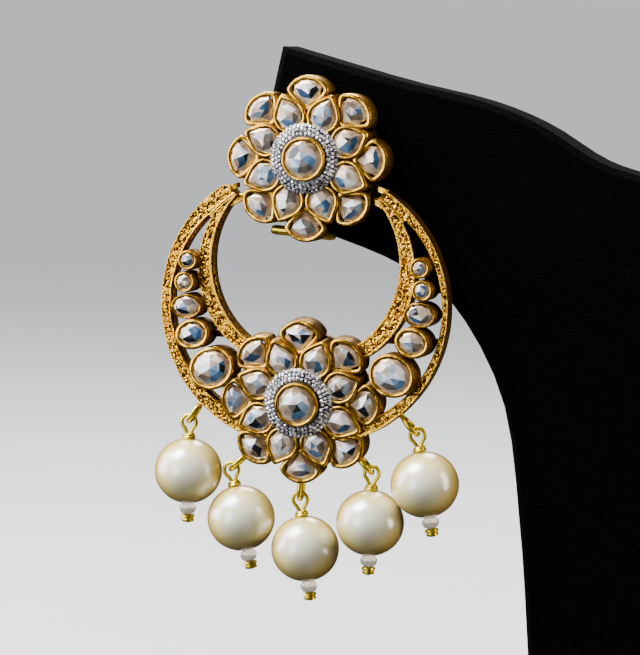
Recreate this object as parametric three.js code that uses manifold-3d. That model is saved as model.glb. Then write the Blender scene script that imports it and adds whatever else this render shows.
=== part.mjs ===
// A chandbali earring hung on a plain velvet display stand.
//
// Everything is in millimetres. The earring and the board it hangs on are laid out in "face"
// coordinates: x to the right, y up, z towards the wearer's front, with the middle of the upper
// flower at x = 0, y = 0 and the board's face at z = 0. One group turns that layout upright, so the
// finished part has +Z up, its front facing -Y, and its origin under the middle of the foot.
import * as THREE from 'three';
import { mergeVertices } from 'three/addons/utils/BufferGeometryUtils.js';
import Module from 'manifold-3d';

const manifold = await Module();
manifold.setup();

// ---- Driving dimensions -----------------------------------------------------------------------

const GAP = 0.25; // running gap between pieces that are set or threaded, not soldered
const STONE_GAP = 0.2; // round a stone in its bezel

// Display stand: a flat velvet-covered board with an arm, on a foot.
const BOARD = { thickness: 9, bevel: 0.8 };
const FOOT = { width: 74, depth: 48, height: 6, corner: 12, middleX: 36, groundY: -90 };

// Flower setting, shared by the stud and the crescent's flower. Heights are above its own back.
const FLOWER = {
  petals: 8,
  plateRadius: 9.2,
  plateHeight: 1.0,
  baseHeight: 2.0, // solid metal under the outer stones
  outerRim: 3.6,
  innerRim: 4.2,
  innerPocket: 0.55,
  seatRadius: 5.0, // clear circle that the pavé ring drops into
  hubRadius: 7.4, // raised ground between the inner cups
  hubHeight: 3.2,
  bezelRadius: 2.95,
  bezelRim: 5.5,
  bezelFloor: 3.9,
  bezelWall: 0.5,
};
const OUTER_PETAL = { centre: 7.75, round: 3.2, apex: 5.75, rim: 0.62 };
const INNER_PETAL = { centre: 5.95, round: 2.3, tip: 9.3, rim: 0.5 };
const PAVE = { outer: 4.75, inner: 3.2, edgeHeight: 4.2, topHeight: 4.85 };

// Cut stones, as insets from the edge: below the girdle, where the crown breaks, and the flat top.
const STONE = { undercut: 0.12, break: 0.5, breakHeight: 0.6, table: 0.9, sunk: 0.35, proud: 0.3 };

const STUD = { back: 0.5 };
const EAR_POST = { radius: 0.45, length: 11.5, hole: 0.9 };
const CLIP_BAR = { radius: 0.65, left: [-4.9, -9.55], right: [2.8, -10.1], z: 1.0 };

// Crescent: two hammered bands round a pierced slot, one plate thick.
const CRESCENT = {
  back: 0.8,
  depth: 2.75,
  outerLeft: { x: -1.75, y: -19.3, radius: 18.1, tall: 18.55 },
  outerRight: { x: 1.25, y: -19.45, radius: 18.05, tall: 18.2 },
  slotOuter: { x: 2.6, y: -19.4, radius: 15.85 },
  slotInner: { x: 1.8, y: -14.6, radius: 13.0 },
  inner: { x: -0.15, y: -13.7, radius: 12.75 },
  tip: { topX: 11.6, cornerX: 10.45, cornerY: -3.75, innerY: -5.3 },
  slotTop: { outerY: -7.7, innerY: -8.5 },
  slotEnd: { outerX: 10.2, innerX: 8.6 },
};
const PIVOT = { y: -5.2, z: 1.55, wire: 0.3, bore: 0.6, wireEnd: 7.5, boreEnd: 7.15, reach: 1.9 };
const TIP_BARS = [
  { fromX: 10.9, fromY: -3.9, toX: 9.5, toY: -3.35, thick: 0.45, low: 2.2, high: 3.1 },
  { fromX: 11.0, fromY: -6.1, toX: 8.95, toY: -5.0, thick: 0.7, low: 1.85, high: 2.95 },
];
const LOWER_FLOWER = { x: -0.3, y: -31.7, back: 0.6, tiltDeg: 5 };

// Stones set between the bands, one row for each height, the same on both sides.
const ARM_STONES = [
  { x: 15.75, y: -13.75, long: 2.0, wide: 2.0, turn: 0, wall: 0.35, rise: 1.7 },
  { x: 16.15, y: -16.65, long: 2.15, wide: 2.15, turn: 0, wall: 0.35, rise: 1.7 },
  { x: 15.85, y: -19.85, long: 3.5, wide: 2.6, turn: 5, wall: 0.4, rise: 1.5 },
  { x: 14.95, y: -23.5, long: 3.5, wide: 2.8, turn: 14, wall: 0.65, rise: 1.7 },
  { x: 12.25, y: -27.9, long: 5.1, wide: 4.5, turn: 25, wall: 0.6, rise: 1.6, loose: true },
];
const ARM_CUP = { low: 0.3, depth: 0.5, looseDepth: 1.5 };
const STRUT = { width: 0.9, low: 0.4, high: 1.6, overlap: 0.4 };

// Pearl drops: where the cast ring starts, the lug behind it, its slant, and how far the pin leans.
const DROPS = [
  { name: 'left_outer', x: -14.7, y: -33.2, lug: 1.4, slant: -33, lean: 0 },
  { name: 'left_inner', x: -8.3, y: -39.7, lug: 0.5, slant: -46, lean: 13 },
  { name: 'middle', x: -0.4, y: -42.4, lug: 0.3, slant: -4, lean: 7 },
  { name: 'right_inner', x: 7.4, y: -39.1, lug: 0.5, slant: 42, lean: -1 },
  { name: 'right_outer', x: 13.4, y: -33.8, lug: 1.4, slant: 43, lean: 10 },
];
const DROP_RING = { depth: 2.0, across: 0.82, tall: 1.3, wire: 0.35 };
const EYE = { radius: 0.95, wire: 0.3 };
const PEARL = { radius: 4.5, squash: 0.97, drill: 0.55 };
const PIN = { wire: 0.27, cap: 0.85, capHeight: 0.6, bead: 1.1, beadHeight: 1.5, head: 0.8, headHeight: 1.0 };

// ---- Colours and finishes ---------------------------------------------------------------------

const FINISHES = {
  gold: { color: 0xc8922f, roughness: 0.32, metalness: 1 },
  silver: { color: 0xb9bcc2, roughness: 0.3, metalness: 1 },
  stone: { color: 0xdfe4ea, roughness: 0.08, metalness: 0 },
  pearl: { color: 0xe8dfc8, roughness: 0.22, metalness: 0 },
  velvet: { color: 0x060606, roughness: 0.95, metalness: 0 },
};

// ---- Solids -----------------------------------------------------------------------------------

const DEGREE = Math.PI / 180;

function toSolid(geometry) {
  const bare = geometry.clone();
  bare.deleteAttribute('normal');
  bare.deleteAttribute('uv');
  const merged = mergeVertices(bare, 1e-4);
  const count = merged.attributes.position.count;
  const index = merged.index ? merged.index.array : Uint32Array.from({ length: count }, (_, i) => i);
  const triangles = [];
  for (let i = 0; i < index.length; i += 3) {
    const [a, b, c] = [index[i], index[i + 1], index[i + 2]];
    if (a !== b && b !== c && c !== a) {
      triangles.push(a, b, c);
    }
  }
  return new manifold.Manifold(new manifold.Mesh({
    numProp: 3,
    vertProperties: new Float32Array(merged.attributes.position.array),
    triVerts: new Uint32Array(triangles),
  }));
}

function toGeometry(solid) {
  const mesh = solid.getMesh();
  const geometry = new THREE.BufferGeometry();
  geometry.setAttribute('position', new THREE.BufferAttribute(mesh.vertProperties, 3));
  geometry.setIndex(new THREE.BufferAttribute(mesh.triVerts, 1));
  geometry.computeVertexNormals();
  return geometry;
}

function joined(solids) {
  return solids.reduce((sum, solid) => sum.add(solid));
}

function piece(name, geometry, finish) {
  const mesh = new THREE.Mesh(geometry, new THREE.MeshStandardMaterial(FINISHES[finish]));
  mesh.name = name;
  return mesh;
}

// Places a flower's parts on the earring: turned about x, then moved.
function placement(x, y, z, tiltDeg) {
  return new THREE.Matrix4().makeRotationX(tiltDeg * DEGREE).setPosition(x, y, z);
}

// A closed body through a stack of convex outlines with the same number of points.
function loft(layers) {
  const count = layers[0].points.length;
  const positions = layers.flatMap(({ points, height }) => points.flatMap(([x, y]) => [x, y, height]));
  const faces = [];
  for (let i = 1; i < count - 1; i += 1) {
    faces.push(0, i + 1, i);
    const top = (layers.length - 1) * count;
    faces.push(top, top + i, top + i + 1);
  }
  for (let layer = 0; layer < layers.length - 1; layer += 1) {
    for (let i = 0; i < count; i += 1) {
      const next = (i + 1) % count;
      const low = layer * count;
      const high = low + count;
      faces.push(low + i, low + next, high + next);
      faces.push(low + i, high + next, high + i);
    }
  }
  const geometry = new THREE.BufferGeometry();
  geometry.setAttribute('position', new THREE.Float32BufferAttribute(positions, 3));
  geometry.setIndex(faces);
  return geometry;
}

// A closed body between two matching convex rings of points in space.
function hull(first, second) {
  const geometry = loft([{ points: first, height: 0 }, { points: second, height: 0 }]);
  const corners = [...first, ...second].flat();
  geometry.setAttribute('position', new THREE.Float32BufferAttribute(corners, 3));
  return geometry;
}

function prism(points, low, high) {
  return loft([{ points, height: low }, { points, height: high }]);
}

// A rose-cut stone: a straight girdle and a low crown of flat facets, from a family of outlines.
function roseCut(outline, inset, low, girdle, top) {
  const crown = top - girdle;
  return loft([
    { points: outline(inset + STONE.undercut), height: low },
    { points: outline(inset), height: girdle },
    { points: outline(inset + STONE.break), height: girdle + STONE.breakHeight * crown },
    { points: outline(inset + STONE.table), height: top },
  ]);
}

function turned(points, x, y, angle) {
  const c = Math.cos(angle);
  const s = Math.sin(angle);
  return points.map(([u, v]) => [x + u * c - v * s, y + u * s + v * c]);
}

function ellipse(halfX, halfY, count) {
  return Array.from({ length: count }, (_, i) => {
    const angle = (2 * Math.PI * (i + 0.5)) / count;
    return [halfX * Math.cos(angle), halfY * Math.sin(angle)];
  });
}

// ---- Flower -----------------------------------------------------------------------------------

// Outer petal: a round end on a right-angled wedge that points at the flower's middle.
function outerPetal(inset) {
  const round = OUTER_PETAL.round - inset;
  const apex = OUTER_PETAL.apex + inset * Math.SQRT2;
  const reach = apex - OUTER_PETAL.centre;
  const side = (-reach + Math.sqrt(2 * round * round - reach * reach)) / 2;
  const start = Math.atan2(side, reach + side);
  const arcPoints = 6;
  const points = [[apex, 0]];
  for (let i = 0; i <= arcPoints; i += 1) {
    const angle = -start + (2 * start * i) / arcPoints;
    points.push([OUTER_PETAL.centre + round * Math.cos(angle), round * Math.sin(angle)]);
  }
  return points;
}

// Inner petal: a teardrop, round towards the middle and pointed outwards.
function innerPetal(inset) {
  const round = INNER_PETAL.round - inset;
  const spread = Math.asin(INNER_PETAL.round / (INNER_PETAL.tip - INNER_PETAL.centre));
  const tip = INNER_PETAL.centre + round / Math.sin(spread);
  const start = Math.PI / 2 - spread;
  const arcPoints = 5;
  const points = [[tip, 0]];
  for (let i = 0; i <= arcPoints; i += 1) {
    const angle = start + ((2 * Math.PI - 2 * start) * i) / arcPoints;
    points.push([INNER_PETAL.centre + round * Math.cos(angle), round * Math.sin(angle)]);
  }
  return points;
}

function petalAngles(offset) {
  const step = (2 * Math.PI) / FLOWER.petals;
  return Array.from({ length: FLOWER.petals }, (_, i) => (i + offset) * step);
}

function outerPockets() {
  return petalAngles(0).map((angle) => (
    toSolid(prism(turned(outerPetal(OUTER_PETAL.rim), 0, 0, angle), FLOWER.baseHeight, FLOWER.bezelRim))
  ));
}

// What has to be clear before a flower is soldered into the crescent.
function flowerClearance() {
  const middle = prism(ellipse(7.9, 7.9, 16), FLOWER.plateHeight, FLOWER.bezelRim);
  return joined([toSolid(middle), ...outerPockets()]);
}

// One soldered setting: plate, eight outer cups, eight raised inner cups with their small stones,
// and the tall bezel in the middle.
function flowerSetting() {
  const plate = toSolid(prism(ellipse(FLOWER.plateRadius, FLOWER.plateRadius, 16), 0, FLOWER.plateHeight));
  const outerCups = petalAngles(0).map((angle) => (
    toSolid(prism(turned(outerPetal(0), 0, 0, angle), 0, FLOWER.outerRim))
  ));
  const innerCups = petalAngles(0.5).map((angle) => (
    toSolid(prism(turned(innerPetal(0), 0, 0, angle), 0, FLOWER.innerRim))
  ));
  const innerHollows = petalAngles(0.5).map((angle) => toSolid(prism(
    turned(innerPetal(INNER_PETAL.rim), 0, 0, angle),
    FLOWER.innerRim - FLOWER.innerPocket,
    FLOWER.bezelRim,
  )));
  const seat = toSolid(prism(ellipse(FLOWER.seatRadius, FLOWER.seatRadius, 20), FLOWER.plateHeight, FLOWER.bezelRim));
  const innerFloor = FLOWER.innerRim - FLOWER.innerPocket;
  const smallStones = petalAngles(0.5).map((angle) => toSolid(loft([
    { points: turned(innerPetal(INNER_PETAL.rim + 0.1), 0, 0, angle), height: innerFloor - 0.4 },
    { points: turned(innerPetal(INNER_PETAL.rim + 0.65), 0, 0, angle), height: innerFloor + 0.65 },
  ])));
  const hub = toSolid(prism(ellipse(FLOWER.hubRadius, FLOWER.hubRadius, 16), 0, FLOWER.hubHeight));
  const cups = joined([plate, hub, ...outerCups]).subtract(joined(outerPockets()));
  const raised = joined(innerCups).subtract(joined(innerHollows)).add(joined(smallStones));
  const bezelInside = FLOWER.bezelRadius - FLOWER.bezelWall;
  const bezel = toSolid(new THREE.LatheGeometry([
    new THREE.Vector2(0, 0),
    new THREE.Vector2(FLOWER.bezelRadius, 0),
    new THREE.Vector2(FLOWER.bezelRadius, FLOWER.bezelRim - 0.4),
    new THREE.Vector2(FLOWER.bezelRadius - 0.2, FLOWER.bezelRim),
    new THREE.Vector2(bezelInside, FLOWER.bezelRim),
    new THREE.Vector2(bezelInside, FLOWER.bezelFloor),
    new THREE.Vector2(0, FLOWER.bezelFloor),
  ], 16).rotateX(Math.PI / 2));
  return cups.add(raised).subtract(seat).add(bezel);
}

// Domed silver ring that carries the pavé, with a round edge outside and a hole for the bezel.
function paveRing() {
  const low = FLOWER.plateHeight + GAP;
  return new THREE.LatheGeometry([
    new THREE.Vector2(PAVE.inner, low),
    new THREE.Vector2(PAVE.outer, low),
    new THREE.Vector2(PAVE.outer, PAVE.edgeHeight - 0.5),
    new THREE.Vector2(PAVE.outer - 0.2, PAVE.edgeHeight),
    new THREE.Vector2((PAVE.outer + PAVE.inner) / 2, PAVE.topHeight - 0.15),
    new THREE.Vector2(PAVE.inner, PAVE.topHeight),
    new THREE.Vector2(PAVE.inner, low),
  ], 20).rotateX(Math.PI / 2);
}

// The loose pieces of one flower: petal stones, pavé ring and middle stone.
function flowerStones(name, place) {
  const stones = petalAngles(0).map((angle, i) => {
    const outline = (inset) => turned(outerPetal(inset), 0, 0, angle);
    const geometry = roseCut(
      outline,
      OUTER_PETAL.rim + STONE_GAP,
      FLOWER.baseHeight + GAP,
      FLOWER.outerRim - STONE.sunk,
      FLOWER.outerRim + STONE.proud,
    );
    return piece(`${name}_petal_stone_${i + 1}`, geometry, 'stone');
  });
  const round = FLOWER.bezelRadius - FLOWER.bezelWall - STONE_GAP;
  const middle = roseCut(
    (inset) => ellipse(round - inset, round - inset, 12),
    0,
    FLOWER.bezelFloor + GAP,
    FLOWER.bezelRim - STONE.sunk,
    FLOWER.bezelRim + STONE.proud,
  );
  const pieces = [
    ...stones,
    piece(`${name}_pave_ring`, paveRing(), 'silver'),
    piece(`${name}_middle_stone`, middle, 'stone'),
  ];
  pieces.forEach((mesh) => mesh.geometry.applyMatrix4(place));
  return pieces;
}

// ---- Stud -------------------------------------------------------------------------------------

// Lays a geometry that stands along y between two points.
function layBetween(geometry, from, to) {
  const along = to.clone().sub(from).normalize();
  geometry.applyQuaternion(new THREE.Quaternion().setFromUnitVectors(new THREE.Vector3(0, 1, 0), along));
  const middle = from.clone().add(to).multiplyScalar(0.5);
  return geometry.translate(middle.x, middle.y, middle.z);
}

function rod(radius, from, to, sides) {
  return layBetween(new THREE.CylinderGeometry(radius, radius, from.distanceTo(to), sides), from, to);
}

function capsule(radius, from, to) {
  return layBetween(new THREE.CapsuleGeometry(radius, from.distanceTo(to), 3, 10), from, to);
}

// The stud's setting with its ear post and the bar of its clip, and a bore on each side in which
// the crescent's pivots turn.
function studSetting(place) {
  const flower = toSolid(toGeometry(flowerSetting()).applyMatrix4(place));
  const post = toSolid(rod(
    EAR_POST.radius,
    new THREE.Vector3(0, 0, STUD.back + 0.5),
    new THREE.Vector3(0, 0, STUD.back - EAR_POST.length),
    10,
  ));
  const bar = toSolid(capsule(
    CLIP_BAR.radius,
    new THREE.Vector3(...CLIP_BAR.left, CLIP_BAR.z),
    new THREE.Vector3(...CLIP_BAR.right, CLIP_BAR.z),
  ));
  const bores = [-1, 1].map((side) => toSolid(rod(
    PIVOT.bore,
    new THREE.Vector3(side * PIVOT.boreEnd, PIVOT.y, PIVOT.z),
    new THREE.Vector3(side * 12, PIVOT.y, PIVOT.z),
    10,
  )));
  return joined([flower, post, bar]).subtract(joined(bores));
}

// ---- Crescent ---------------------------------------------------------------------------------

function mirrored(arc, side) {
  return { ...arc, x: side * arc.x };
}

// The arcs are circles, or ellipses where "tall" gives their half height.
function halfHeight(arc) {
  return arc.tall ?? arc.radius;
}

// Where an arc meets a given x: above its middle for sign 1, below for sign -1.
function heightOn(arc, x, sign) {
  return arc.y + sign * halfHeight(arc) * Math.sqrt(1 - ((x - arc.x) / arc.radius) ** 2);
}

// Where an arc meets a given y, right of its middle for sign 1, left for sign -1.
function reachOn(arc, y, sign) {
  return arc.x + sign * arc.radius * Math.sqrt(1 - ((y - arc.y) / halfHeight(arc)) ** 2);
}

function addArc(path, arc, from, to, clockwise) {
  const tall = halfHeight(arc);
  const angle = ([x, y]) => Math.atan2((y - arc.y) / tall, (x - arc.x) / arc.radius);
  path.absellipse(arc.x, arc.y, arc.radius, tall, angle(from), angle(to), clockwise);
}

// The flat outline: two outer arcs and an inner arc between two cut tips, with a slot on each side.
function crescentShape() {
  const { outerLeft, outerRight, inner, slotOuter, slotInner, tip, slotTop, slotEnd } = CRESCENT;
  const leftTop = [-tip.topX, heightOn(outerLeft, -tip.topX, 1)];
  const rightTop = [tip.topX, heightOn(outerRight, tip.topX, 1)];
  const meetX = (outerLeft.x + outerRight.x) / 2;
  const bottom = [meetX, heightOn(outerLeft, meetX, -1)];
  const shape = new THREE.Shape();
  shape.moveTo(...leftTop);
  addArc(shape, outerLeft, leftTop, bottom, false);
  addArc(shape, outerRight, bottom, rightTop, false);
  shape.lineTo(tip.cornerX, tip.cornerY);
  addArc(
    shape, inner,
    [reachOn(inner, tip.innerY, 1), tip.innerY],
    [reachOn(inner, tip.innerY, -1), tip.innerY],
    true,
  );
  shape.lineTo(-tip.cornerX, tip.cornerY);
  shape.closePath();
  for (const side of [1, -1]) {
    const outer = mirrored(slotOuter, side);
    const nearer = mirrored(slotInner, side);
    const top = [reachOn(outer, slotTop.outerY, side), slotTop.outerY];
    const topInner = [reachOn(nearer, slotTop.innerY, side), slotTop.innerY];
    const low = [side * slotEnd.outerX, heightOn(outer, side * slotEnd.outerX, -1)];
    const high = [side * slotEnd.innerX, heightOn(nearer, side * slotEnd.innerX, -1)];
    const slot = new THREE.Path();
    slot.moveTo(...top);
    addArc(slot, outer, top, low, side > 0);
    slot.lineTo(...high);
    addArc(slot, nearer, high, topInner, side < 0);
    slot.closePath();
    shape.holes.push(slot);
  }
  return shape;
}

function armStoneOutline(row, side, grow) {
  const points = ellipse(row.long / 2 + grow, row.wide / 2 + grow, row.loose ? 14 : 10);
  return turned(points, side * row.x, row.y, -side * row.turn * DEGREE);
}

// A cup standing on the bands. Small stones are part of it; the big ones lie loose in theirs.
function armCup(row, side) {
  const front = CRESCENT.back + CRESCENT.depth;
  const rim = front + row.rise;
  const cup = toSolid(loft([
    { points: armStoneOutline(row, side, row.wall), height: CRESCENT.back + ARM_CUP.low },
    { points: armStoneOutline(row, side, row.wall - 0.1), height: rim },
  ]));
  const floor = rim - (row.loose ? ARM_CUP.looseDepth : ARM_CUP.depth);
  const hollow = toSolid(prism(armStoneOutline(row, side, 0), floor, rim + 1));
  const hollowed = cup.subtract(hollow);
  if (row.loose) {
    return hollowed;
  }
  const stone = toSolid(loft([
    { points: armStoneOutline(row, side, -0.1), height: floor - 0.3 },
    { points: armStoneOutline(row, side, -0.45), height: rim + 0.25 },
  ]));
  return hollowed.add(stone);
}

function armStone(row, side) {
  const rim = CRESCENT.back + CRESCENT.depth + row.rise;
  return roseCut(
    (inset) => armStoneOutline(row, side, -inset),
    STONE_GAP,
    rim - ARM_CUP.looseDepth + GAP,
    rim - 0.2,
    rim + STONE.proud,
  );
}

// The round wire that leaves each tip and turns in the stud's bore.
function pivotWire(side) {
  return toSolid(rod(
    PIVOT.wire,
    new THREE.Vector3(side * PIVOT.wireEnd, PIVOT.y, PIVOT.z),
    new THREE.Vector3(side * 10.4, PIVOT.y, PIVOT.z),
    8,
  ));
}

// A flat bar in front of that wire, which slants up towards the flower.
function tipBar(row, side) {
  const corners = [
    [row.fromX, row.fromY],
    [row.toX, row.toY],
    [row.toX, row.toY - row.thick],
    [row.fromX, row.fromY - row.thick],
  ];
  const points = corners.map(([x, y]) => [side * x, y]);
  return toSolid(prism(side > 0 ? points : points.reverse(), row.low, row.high));
}

// The back corner of each tip is cut off at 45 degrees, so that it clears the board as it turns.
function tipRelief(side) {
  const cut = PIVOT.reach;
  const profile = [[PIVOT.y, -3], [PIVOT.y + cut + PIVOT.z + 3, -3], [PIVOT.y + cut, PIVOT.z], [PIVOT.y, PIVOT.z - cut]];
  const from = side > 0 ? 8.9 : -13.5;
  const ring = (x) => profile.map(([y, z]) => [x, y, z]);
  return toSolid(hull(ring(from), ring(from + 4.6)));
}

// A bar across the slot behind a cup, soldered to both bands.
function strut(row, side) {
  const outer = mirrored(CRESCENT.slotOuter, side);
  const nearer = mirrored(CRESCENT.slotInner, side);
  const from = reachOn(nearer, row.y, side) - side * STRUT.overlap;
  const to = reachOn(outer, row.y, side) + side * STRUT.overlap;
  const bar = new THREE.BoxGeometry(Math.abs(to - from), STRUT.width, STRUT.high - STRUT.low);
  return toSolid(bar.translate((from + to) / 2, row.y, CRESCENT.back + (STRUT.high + STRUT.low) / 2));
}

// A tall cast ring that stands out from the frame's edge on a short lug.
function dropRing(row) {
  const ring = new THREE.TorusGeometry(1, DROP_RING.wire, 5, 12).rotateY(Math.PI / 2);
  const position = ring.attributes.position;
  // The ring's middle line is drawn out tall without thinning its wire.
  for (let i = 0; i < position.count; i += 1) {
    const y = position.getY(i);
    const z = position.getZ(i);
    const reach = Math.hypot(y, z);
    position.setY(i, y + (DROP_RING.tall - 1) * (y / reach));
    position.setZ(i, z + (DROP_RING.across - 1) * (z / reach));
  }
  ring.translate(0, -DROP_RING.tall, 0).rotateZ(row.slant * DEGREE).translate(row.x, row.y, DROP_RING.depth);
  const top = new THREE.Vector3(row.x, row.y, DROP_RING.depth);
  const root = new THREE.Vector3(0, CRESCENT.outerLeft.y, DROP_RING.depth).sub(top).setLength(row.lug).add(top);
  return toSolid(ring).add(toSolid(rod(DROP_RING.wire, top, root, 6)));
}

function crescentFrame(place) {
  const plate = new THREE.ExtrudeGeometry(crescentShape(), {
    depth: CRESCENT.depth,
    bevelEnabled: false,
    curveSegments: 12,
  }).translate(0, 0, CRESCENT.back);
  const sides = [-1, 1];
  const cups = sides.flatMap((side) => ARM_STONES.map((row) => armCup(row, side)));
  const struts = sides.flatMap((side) => ARM_STONES.filter(({ loose }) => !loose).map((row) => strut(row, side)));
  const tipBars = sides.flatMap((side) => TIP_BARS.map((row) => tipBar(row, side)));
  const clear = toSolid(toGeometry(flowerClearance()).applyMatrix4(place));
  const flower = toSolid(toGeometry(flowerSetting()).applyMatrix4(place));
  return toSolid(plate)
    .subtract(joined(sides.map(tipRelief)))
    .add(joined([...cups, ...struts]))
    .subtract(clear)
    .add(joined([flower, ...DROPS.map(dropRing), ...sides.map(pivotWire), ...tipBars]));
}

// ---- Drops ------------------------------------------------------------------------------------

// Each drop hangs from its ring by a wire eye, so its own zero is the middle of the eye.
const PEARL_TOP = -(EYE.radius + PIN.capHeight + 0.35);
const PEARL_MIDDLE = PEARL_TOP - GAP - PEARL.radius * PEARL.squash;

function pearl() {
  const start = Math.asin(PEARL.drill / PEARL.radius);
  const rows = 8;
  const profile = [];
  for (let i = 0; i <= rows; i += 1) {
    const angle = start + ((Math.PI - 2 * start) * i) / rows;
    profile.push(new THREE.Vector2(
      PEARL.radius * Math.sin(angle),
      -PEARL.radius * PEARL.squash * Math.cos(angle),
    ));
  }
  profile.push(profile[0].clone());
  return new THREE.LatheGeometry(profile, 16).translate(0, PEARL_MIDDLE, 0);
}

// Head pin: an eye, a cap over the pearl, the wire through it, a glass bead and a button head.
function dropPin() {
  const pearlBottom = PEARL_MIDDLE - PEARL.radius * PEARL.squash - GAP;
  const beadBottom = pearlBottom - PIN.beadHeight;
  const profile = [
    [0, beadBottom - PIN.headHeight],
    [PIN.head, beadBottom - PIN.headHeight + 0.2],
    [PIN.head, beadBottom - 0.2],
    [PIN.head * 0.5, beadBottom],
    [PIN.bead, beadBottom + PIN.beadHeight * 0.35],
    [PIN.bead, beadBottom + PIN.beadHeight * 0.65],
    [PIN.wire, pearlBottom],
    [PIN.wire, PEARL_TOP],
    [PIN.cap, PEARL_TOP + 0.1],
    [PIN.cap * 0.6, PEARL_TOP + PIN.capHeight],
    [PIN.wire, PEARL_TOP + PIN.capHeight + 0.1],
    [PIN.wire, -EYE.radius],
    [0, -EYE.radius],
  ];
  const shaft = new THREE.LatheGeometry(profile.map(([x, y]) => new THREE.Vector2(x, y)), 8);
  const eye = new THREE.TorusGeometry(EYE.radius, EYE.wire, 5, 10);
  return toGeometry(toSolid(shaft).add(toSolid(eye)));
}

function drop(row) {
  const hung = new THREE.Group();
  hung.add(piece(`pearl_${row.name}`, pearl(), 'pearl'));
  hung.add(piece(`drop_pin_${row.name}`, dropPin(), 'gold'));
  const reach = 2 * DROP_RING.tall;
  const slack = EYE.radius - EYE.wire - DROP_RING.wire - 0.15;
  hung.position.set(
    row.x + reach * Math.sin(row.slant * DEGREE) + slack * Math.sin(row.lean * DEGREE),
    row.y - reach * Math.cos(row.slant * DEGREE) - slack * Math.cos(row.lean * DEGREE),
    DROP_RING.depth,
  );
  hung.rotation.z = row.lean * DEGREE;
  return hung;
}

// ---- Display stand ----------------------------------------------------------------------------

function displayBoard() {
  const shape = new THREE.Shape();
  shape.moveTo(-4.8, 14.6);
  shape.splineThru([
    new THREE.Vector2(10.6, 10.5),
    new THREE.Vector2(22.1, 8.0),
    new THREE.Vector2(30.1, 5.0),
    new THREE.Vector2(37.4, 0.7),
    new THREE.Vector2(43.3, -1.2),
    new THREE.Vector2(53, -3.4),
    new THREE.Vector2(59.5, -12),
  ]);
  shape.lineTo(62, FOOT.groundY + FOOT.height);
  shape.lineTo(31, FOOT.groundY + FOOT.height);
  shape.lineTo(30, -64);
  shape.splineThru([
    new THREE.Vector2(28.6, -47.9),
    new THREE.Vector2(25.9, -31),
    new THREE.Vector2(18.9, -18.6),
    new THREE.Vector2(11.1, -13.4),
    new THREE.Vector2(1.8, -10),
  ]);
  shape.lineTo(-8.9, -5.2);
  shape.closePath();
  return new THREE.ExtrudeGeometry(shape, {
    depth: BOARD.thickness - 2 * BOARD.bevel,
    bevelThickness: BOARD.bevel,
    bevelSize: BOARD.bevel,
    bevelOffset: -BOARD.bevel,
    bevelSegments: 1,
    curveSegments: 3,
  }).translate(0, 0, BOARD.bevel - BOARD.thickness);
}

function displayFoot() {
  const halfW = FOOT.width / 2;
  const halfD = FOOT.depth / 2;
  const shape = new THREE.Shape();
  shape.moveTo(halfW, -halfD + FOOT.corner);
  shape.absarc(halfW - FOOT.corner, halfD - FOOT.corner, FOOT.corner, 0, Math.PI / 2, false);
  shape.absarc(-halfW + FOOT.corner, halfD - FOOT.corner, FOOT.corner, Math.PI / 2, Math.PI, false);
  shape.absarc(-halfW + FOOT.corner, -halfD + FOOT.corner, FOOT.corner, Math.PI, 1.5 * Math.PI, false);
  shape.absarc(halfW - FOOT.corner, -halfD + FOOT.corner, FOOT.corner, 1.5 * Math.PI, 2 * Math.PI, false);
  const foot = new THREE.ExtrudeGeometry(shape, { depth: FOOT.height, bevelEnabled: false, curveSegments: 4 });
  return foot.rotateX(-Math.PI / 2).translate(FOOT.middleX, FOOT.groundY, -BOARD.thickness / 2);
}

// Board and foot in one piece, with a hole for the ear post.
function displayStand() {
  const hole = toSolid(rod(
    EAR_POST.hole,
    new THREE.Vector3(0, 0, 1),
    new THREE.Vector3(0, 0, -BOARD.thickness - 1),
    12,
  ));
  return toSolid(displayBoard()).add(toSolid(displayFoot())).subtract(hole);
}

// ---- The whole part ---------------------------------------------------------------------------

const studPlace = placement(0, 0, STUD.back, 0);
const lowerPlace = placement(LOWER_FLOWER.x, LOWER_FLOWER.y, LOWER_FLOWER.back, LOWER_FLOWER.tiltDeg);

const layout = new THREE.Group();
layout.add(piece('display_stand', toGeometry(displayStand()), 'velvet'));
layout.add(piece('stud_setting', toGeometry(studSetting(studPlace)), 'gold'));
layout.add(...flowerStones('stud', studPlace));
layout.add(piece('crescent_frame', toGeometry(crescentFrame(lowerPlace)), 'gold'));
layout.add(...flowerStones('flower', lowerPlace));
for (const row of ARM_STONES.filter(({ loose }) => loose)) {
  layout.add(piece('arm_stone_left', armStone(row, -1), 'stone'));
  layout.add(piece('arm_stone_right', armStone(row, 1), 'stone'));
}
layout.add(...DROPS.map(drop));

layout.rotation.x = Math.PI / 2;
layout.position.set(-FOOT.middleX, -BOARD.thickness / 2, -FOOT.groundY);

const earring = new THREE.Group();
earring.add(layout);

export default earring;
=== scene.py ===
# %% [markdown]
# # A chandbali earring on a velvet display stand
# This lesson dresses a finished solid model in metal, glass, pearl and velvet. The solids, their
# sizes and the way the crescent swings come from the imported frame, and nothing here moves them.
# Every visible piece is built as a mesh in code, then given a material made of nodes. The frame is
# loaded first, because every place below is worked out from it.

# %% Load the frame
import math
import random

import bmesh
import bpy
from mathutils import Matrix, Vector, noise


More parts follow.
